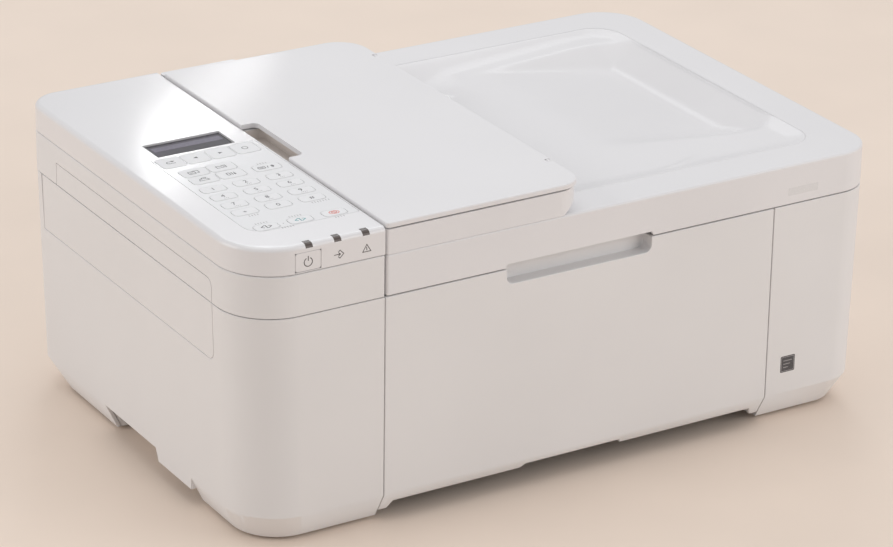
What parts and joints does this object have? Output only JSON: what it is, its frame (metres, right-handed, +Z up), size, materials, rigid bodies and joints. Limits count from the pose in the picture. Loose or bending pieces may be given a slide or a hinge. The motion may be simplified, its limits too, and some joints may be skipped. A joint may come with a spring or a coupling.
{
  "type": "inkjet printer",
  "caption": "Low white all-in-one inkjet printer with a flatbed scanner, a lid-mounted document feeder and a side operation panel.",
  "frame": {"origin": "on the surface the feet stand on, under the middle of the case", "axes": "+X across the width from the operation panel's side to the lid recess's side, front towards -Y, +Z up"},
  "size_m": [0.435, 0.295, 0.189],
  "materials": {
    "case_white": "satin moulded plastic with a fine spark texture",
    "cover_white": "satin moulded plastic, smoother on the top faces",
    "panel_white": "smooth white plastic with a soft gloss",
    "film_white": "printed film, semi-gloss",
    "key_white": "smooth white plastic caps",
    "display_dark": "dark smoked window",
    "lamp_smoke": "smoked lamp window",
    "scan_glass": "clear flat glass",
    "pad_foam": "white film over soft foam",
    "inner_grey": "mid grey moulded plastic",
    "inner_dark": "black moulded plastic",
    "cartridge_black": "black moulded cartridge shells",
    "socket_black": "black moulded socket",
    "board_green": "green circuit board with solder mask",
    "chassis_steel": "zinc-plated sheet steel",
    "motor_steel": "plated steel",
    "screw_steel": "plated screws",
    "belt_rubber": "toothed belt",
    "roller_rubber": "ground rubber sleeves",
    "foot_rubber": "soft rubber"
  },
  "bodies": {
    "base": {"base_case": "case_white", "left_side_cover": "case_white", "right_side_cover": "case_white", "top_frame": "case_white", "platen_glass": "scan_glass", "operation_panel": "panel_white", "keypad_film": "film_white", "lcd_window": "display_dark", "status_lamps": "lamp_smoke", "rubber_feet": "foot_rubber", "case_screws": "screw_steel", "power_inlet": "socket_black", "main_board": "board_green", "power_supply": "inner_grey", "print_chassis": "chassis_steel", "carriage_motor": "motor_steel", "drive_belt": "belt_rubber", "output_tray": "inner_grey"},
    "cover": {"document_cover": "cover_white", "pressure_pad": "pad_foam", "adf_housing": "cover_white"},
    "tray_flap": {"document_tray": "cover_white"},
    "guide_front": {"document_guide_front": "inner_grey"},
    "guide_rear": {"document_guide_rear": "inner_grey"},
    "adf_roller": {"adf_pick_roller": "roller_rubber"},
    "door": {"front_door": "case_white"},
    "jam_cover": {"rear_cover": "case_white"},
    "width_guide_left": {"paper_guide_left": "inner_grey"},
    "width_guide_right": {"paper_guide_right": "inner_grey"},
    "carriage": {"print_carriage": "inner_dark", "ink_cartridges": "cartridge_black"},
    "pulley": {"motor_pulley": "motor_steel"},
    "scanner_bar": {"scan_bar": "inner_dark"},
    "feed_shaft": {"feed_roller": "roller_rubber"},
    "exit_shaft": {"exit_roller": "roller_rubber"},
    "power_cap": {"power_button": "panel_white"},
    "key_back_cap": {"key_back": "key_white"},
    "key_left_cap": {"key_left": "key_white"},
    "key_right_cap": {"key_right": "key_white"},
    "key_ok_cap": {"key_ok": "key_white"},
    "key_copy_cap": {"key_copy": "key_white"},
    "key_scan_cap": {"key_scan": "key_white"},
    "key_fax_cap": {"key_fax": "key_white"},
    "key_setup_cap": {"key_setup": "key_white"},
    "key_menu_cap": {"key_menu": "key_white"},
    "key_1_cap": {"key_1": "key_white"},
    "key_2_cap": {"key_2": "key_white"},
    "key_3_cap": {"key_3": "key_white"},
    "key_4_cap": {"key_4": "key_white"},
    "key_5_cap": {"key_5": "key_white"},
    "key_6_cap": {"key_6": "key_white"},
    "key_7_cap": {"key_7": "key_white"},
    "key_8_cap": {"key_8": "key_white"},
    "key_9_cap": {"key_9": "key_white"},
    "key_tone_cap": {"key_tone": "key_white"},
    "key_0_cap": {"key_0": "key_white"},
    "key_symbol_cap": {"key_symbol": "key_white"},
    "key_start_black_cap": {"key_start_black": "key_white"},
    "key_start_color_cap": {"key_start_color": "key_white"},
    "key_stop_cap": {"key_stop": "key_white"}
  },
  "joints": [
    {"name": "document_cover_hinge", "type": "hinge", "parent": "base", "child": "cover", "pos_m": [0, 0.1395, 0.15], "axis": [-1, 0, 0], "range_deg": [0, 80]},
    {"name": "document_tray_hinge", "type": "hinge", "parent": "cover", "child": "tray_flap", "pos_m": [0.0035, 0, 0.1876], "axis": [0, 1, 0], "range_deg": [0, 145]},
    {"name": "front_door_hinge", "type": "hinge", "parent": "base", "child": "door", "pos_m": [0.0067, -0.1375, 0.015], "axis": [1, 0, 0], "range_deg": [0, 90]},
    {"name": "rear_cover_hinge", "type": "hinge", "parent": "base", "child": "jam_cover", "pos_m": [0.005, 0.14, 0.026], "axis": [-1, 0, 0], "range_deg": [0, 60]},
    {"name": "document_guide_slide", "type": "slide", "parent": "cover", "child": "guide_front", "axis": [0, 1, 0], "range_m": [0, 0.032]},
    {"name": "document_guide_rear_slide", "type": "slide", "parent": "cover", "child": "guide_rear", "axis": [0, -1, 0], "range_m": [0, 0.032]},
    {"name": "paper_guide_slide", "type": "slide", "parent": "base", "child": "width_guide_left", "axis": [1, 0, 0], "range_m": [0, 0.055]},
    {"name": "paper_guide_right_slide", "type": "slide", "parent": "base", "child": "width_guide_right", "axis": [-1, 0, 0], "range_m": [0, 0.055]},
    {"name": "carriage_slide", "type": "slide", "parent": "base", "child": "carriage", "axis": [1, 0, 0], "range_m": [-0.245, 0]},
    {"name": "motor_pulley_spin", "type": "hinge", "parent": "base", "child": "pulley", "pos_m": [0.185, 0.048, 0.095], "axis": [0, 0, 1], "range_deg": [-2400, 60]},
    {"name": "scan_bar_slide", "type": "slide", "parent": "base", "child": "scanner_bar", "axis": [1, 0, 0], "range_m": [0, 0.3]},
    {"name": "feed_roller_spin", "type": "hinge", "parent": "base", "child": "feed_shaft", "pos_m": [0, 0.034, 0.047], "axis": [1, 0, 0], "continuous": true},
    {"name": "exit_roller_spin", "type": "hinge", "parent": "base", "child": "exit_shaft", "pos_m": [0, -0.032, 0.047], "axis": [1, 0, 0], "continuous": true},
    {"name": "adf_roller_spin", "type": "hinge", "parent": "cover", "child": "adf_roller", "pos_m": [-0.078, 0, 0.178], "axis": [0, 1, 0], "continuous": true},
    {"name": "power_button_press", "type": "slide", "parent": "base", "child": "power_cap", "axis": [0, 1, 0], "range_m": [0, 0.0008], "stiffness_N_per_m": 1500, "springref_m": -0.0004},
    {"name": "key_back_press", "type": "slide", "parent": "base", "child": "key_back_cap", "axis": [0, 0, -1], "range_m": [0, 0.0004], "stiffness_N_per_m": 2000, "springref_m": -0.0003},
    {"name": "key_left_press", "type": "slide", "parent": "base", "child": "key_left_cap", "axis": [0, 0, -1], "range_m": [0, 0.0004], "stiffness_N_per_m": 2000, "springref_m": -0.0003},
    {"name": "key_right_press", "type": "slide", "parent": "base", "child": "key_right_cap", "axis": [0, 0, -1], "range_m": [0, 0.0004], "stiffness_N_per_m": 2000, "springref_m": -0.0003},
    {"name": "key_ok_press", "type": "slide", "parent": "base", "child": "key_ok_cap", "axis": [0, 0, -1], "range_m": [0, 0.0004], "stiffness_N_per_m": 2000, "springref_m": -0.0003},
    {"name": "key_copy_press", "type": "slide", "parent": "base", "child": "key_copy_cap", "axis": [0, 0, -1], "range_m": [0, 0.0004], "stiffness_N_per_m": 2000, "springref_m": -0.0003},
    {"name": "key_scan_press", "type": "slide", "parent": "base", "child": "key_scan_cap", "axis": [0, 0, -1], "range_m": [0, 0.0004], "stiffness_N_per_m": 2000, "springref_m": -0.0003},
    {"name": "key_fax_press", "type": "slide", "parent": "base", "child": "key_fax_cap", "axis": [0, 0, -1], "range_m": [0, 0.0004], "stiffness_N_per_m": 2000, "springref_m": -0.0003},
    {"name": "key_setup_press", "type": "slide", "parent": "base", "child": "key_setup_cap", "axis": [0, 0, -1], "range_m": [0, 0.0004], "stiffness_N_per_m": 2000, "springref_m": -0.0003},
    {"name": "key_menu_press", "type": "slide", "parent": "base", "child": "key_menu_cap", "axis": [0, 0, -1], "range_m": [0, 0.0004], "stiffness_N_per_m": 2000, "springref_m": -0.0003},
    {"name": "key_1_press", "type": "slide", "parent": "base", "child": "key_1_cap", "axis": [0, 0, -1], "range_m": [0, 0.0004], "stiffness_N_per_m": 2000, "springref_m": -0.0003},
    {"name": "key_2_press", "type": "slide", "parent": "base", "child": "key_2_cap", "axis": [0, 0, -1], "range_m": [0, 0.0004], "stiffness_N_per_m": 2000, "springref_m": -0.0003},
    {"name": "key_3_press", "type": "slide", "parent": "base", "child": "key_3_cap", "axis": [0, 0, -1], "range_m": [0, 0.0004], "stiffness_N_per_m": 2000, "springref_m": -0.0003},
    {"name": "key_4_press", "type": "slide", "parent": "base", "child": "key_4_cap", "axis": [0, 0, -1], "range_m": [0, 0.0004], "stiffness_N_per_m": 2000, "springref_m": -0.0003},
    {"name": "key_5_press", "type": "slide", "parent": "base", "child": "key_5_cap", "axis": [0, 0, -1], "range_m": [0, 0.0004], "stiffness_N_per_m": 2000, "springref_m": -0.0003},
    {"name": "key_6_press", "type": "slide", "parent": "base", "child": "key_6_cap", "axis": [0, 0, -1], "range_m": [0, 0.0004], "stiffness_N_per_m": 2000, "springref_m": -0.0003},
    {"name": "key_7_press", "type": "slide", "parent": "base", "child": "key_7_cap", "axis": [0, 0, -1], "range_m": [0, 0.0004], "stiffness_N_per_m": 2000, "springref_m": -0.0003},
    {"name": "key_8_press", "type": "slide", "parent": "base", "child": "key_8_cap", "axis": [0, 0, -1], "range_m": [0, 0.0004], "stiffness_N_per_m": 2000, "springref_m": -0.0003},
    {"name": "key_9_press", "type": "slide", "parent": "base", "child": "key_9_cap", "axis": [0, 0, -1], "range_m": [0, 0.0004], "stiffness_N_per_m": 2000, "springref_m": -0.0003},
    {"name": "key_tone_press", "type": "slide", "parent": "base", "child": "key_tone_cap", "axis": [0, 0, -1], "range_m": [0, 0.0004], "stiffness_N_per_m": 2000, "springref_m": -0.0003},
    {"name": "key_0_press", "type": "slide", "parent": "base", "child": "key_0_cap", "axis": [0, 0, -1], "range_m": [0, 0.0004], "stiffness_N_per_m": 2000, "springref_m": -0.0003},
    {"name": "key_symbol_press", "type": "slide", "parent": "base", "child": "key_symbol_cap", "axis": [0, 0, -1], "range_m": [0, 0.0004], "stiffness_N_per_m": 2000, "springref_m": -0.0003},
    {"name": "key_start_black_press", "type": "slide", "parent": "base", "child": "key_start_black_cap", "axis": [0, 0, -1], "range_m": [0, 0.0004], "stiffness_N_per_m": 2000, "springref_m": -0.0003},
    {"name": "key_start_color_press", "type": "slide", "parent": "base", "child": "key_start_color_cap", "axis": [0, 0, -1], "range_m": [0, 0.0004], "stiffness_N_per_m": 2000, "springref_m": -0.0003},
    {"name": "key_stop_press", "type": "slide", "parent": "base", "child": "key_stop_cap", "axis": [0, 0, -1], "range_m": [0, 0.0004], "stiffness_N_per_m": 2000, "springref_m": -0.0003}
  ],
  "couplings": [
    {"joint": "document_guide_rear_slide", "follows": "document_guide_slide", "ratio": 1},
    {"joint": "paper_guide_right_slide", "follows": "paper_guide_slide", "ratio": 1},
    {"joint": "motor_pulley_spin", "follows": "carriage_slide", "rad_per_m": 166.67},
    {"joint": "exit_roller_spin", "follows": "feed_roller_spin", "ratio": 1.1667}
  ]
}
